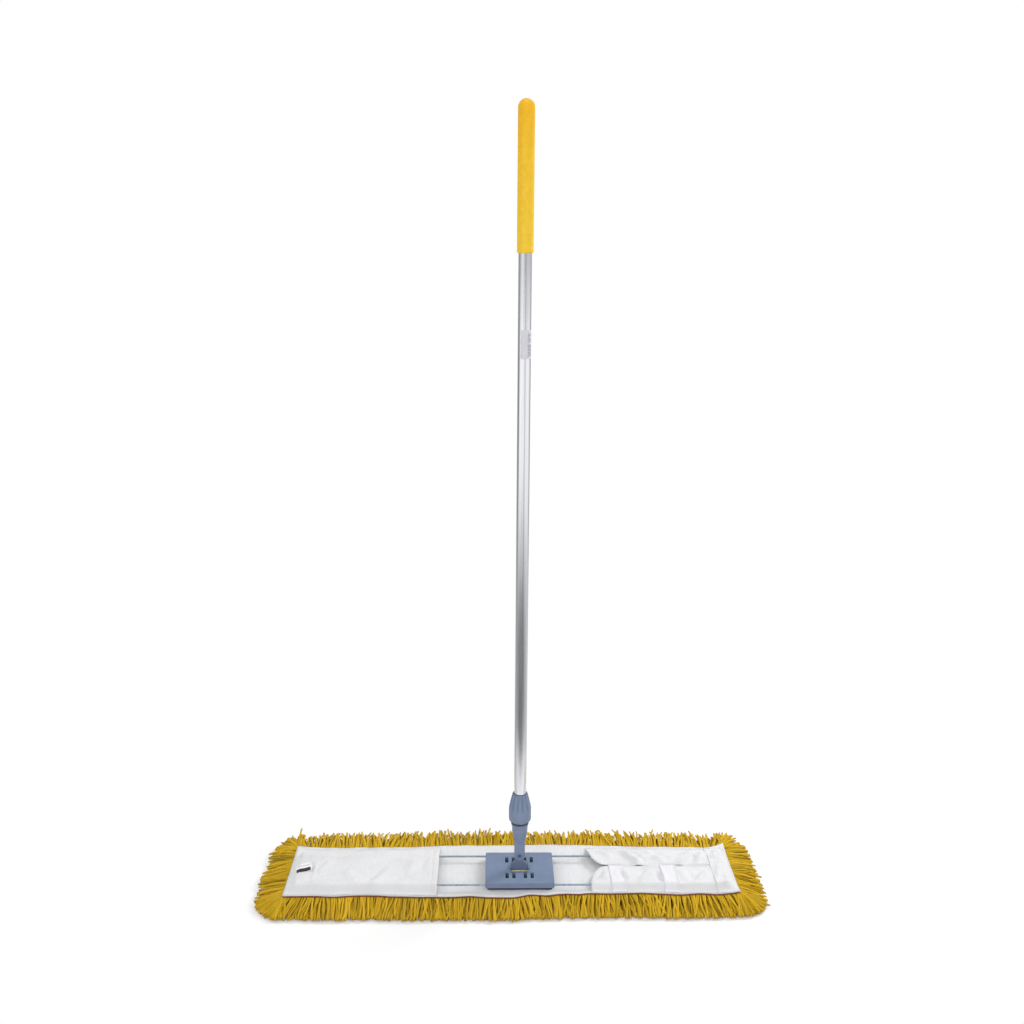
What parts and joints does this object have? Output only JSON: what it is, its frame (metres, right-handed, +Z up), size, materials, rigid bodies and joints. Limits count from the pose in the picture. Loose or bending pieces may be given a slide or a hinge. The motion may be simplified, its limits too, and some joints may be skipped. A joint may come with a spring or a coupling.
{
  "type": "flat dust mop",
  "caption": "Flat dust mop: fringed yarn pad in a canvas cover on a wire frame, with a two-way swivel, a fluted clamp nut and an upright tube handle with a domed grip.",
  "frame": {"origin": "centre of the canvas backing, on the floor", "axes": "+X along the pad, +Y to the rear, +Z up along the handle"},
  "size_m": [1.07, 0.306, 1.585],
  "materials": {
    "tube_metal": "bright drawn",
    "grip_yellow": "satin",
    "label_film": "printed film",
    "blue_grey_plastic": "satin",
    "plate_plastic": "satin",
    "dark_plastic": "satin",
    "zinc_steel": "zinc plated",
    "frame_wire": "galvanised",
    "pin_brass": "plain",
    "white_canvas": "plain weave",
    "strap_tape": "woven tape",
    "tag_cloth": "woven with a dark band",
    "mustard_yarn": "twisted yarn"
  },
  "bodies": {
    "head": {"centre_plate": "plate_plastic", "clamp_plate": "plate_plastic", "plate_screws": "zinc_steel", "cross_pin": "pin_brass", "wire_left": "frame_wire", "wire_right": "frame_wire", "mop_backing": "white_canvas", "left_pocket": "white_canvas", "right_end_cap": "white_canvas", "care_tag": "tag_cloth", "yarn_pile": "mustard_yarn", "fringe_front": "mustard_yarn", "fringe_rear": "mustard_yarn", "fringe_left": "mustard_yarn", "fringe_right": "mustard_yarn"},
    "swivel": {"swivel_block": "blue_grey_plastic"},
    "socket": {"socket_body": "blue_grey_plastic", "side_pivot_pin": "zinc_steel", "pivot_retainer": "zinc_steel", "collet": "dark_plastic"},
    "nut_ring": {"slip_ring": "dark_plastic"},
    "nut": {"clamp_nut": "blue_grey_plastic"},
    "handle": {"handle_tube": "tube_metal", "tube_end_plug": "dark_plastic", "hand_grip": "grip_yellow", "tube_label": "label_film"},
    "rear_flap": {"rear_flap": "white_canvas"},
    "front_flap": {"front_flap": "white_canvas", "inner_strap": "strap_tape", "outer_strap": "strap_tape"}
  },
  "joints": [
    {"name": "lean_fore_aft", "type": "hinge", "parent": "head", "child": "swivel", "pos_m": [0.016, -0.015, 0.0316], "axis": [1, 0, 0], "range_deg": [-55, 55]},
    {"name": "lean_sideways", "type": "hinge", "parent": "swivel", "child": "socket", "pos_m": [0.016, -0.015, 0.0736], "axis": [0, 1, 0], "range_deg": [-85, 85]},
    {"name": "nut_rise", "type": "slide", "parent": "socket", "child": "nut_ring", "axis": [0, 0, 1], "range_m": [0, 0.0045]},
    {"name": "nut_turn", "type": "hinge", "parent": "nut_ring", "child": "nut", "pos_m": [0.016, -0.015, 0.18], "axis": [0, 0, 1], "range_deg": [0, 540]},
    {"name": "tube_pull_out", "type": "slide", "parent": "socket", "child": "handle", "axis": [0, 0, 1], "range_m": [0, 0.06]},
    {"name": "rear_flap_open", "type": "hinge", "parent": "head", "child": "rear_flap", "pos_m": [0.3, 0.08, 0.02415], "axis": [-1, 0, 0], "range_deg": [0, 130]},
    {"name": "front_flap_open", "type": "hinge", "parent": "head", "child": "front_flap", "pos_m": [0.3, -0.088, 0.02415], "axis": [1, 0, 0], "range_deg": [0, 130]}
  ],
  "couplings": [
    {"joint": "nut_rise", "follows": "nut_turn", "m_per_rad": 0.00047746}
  ]
}
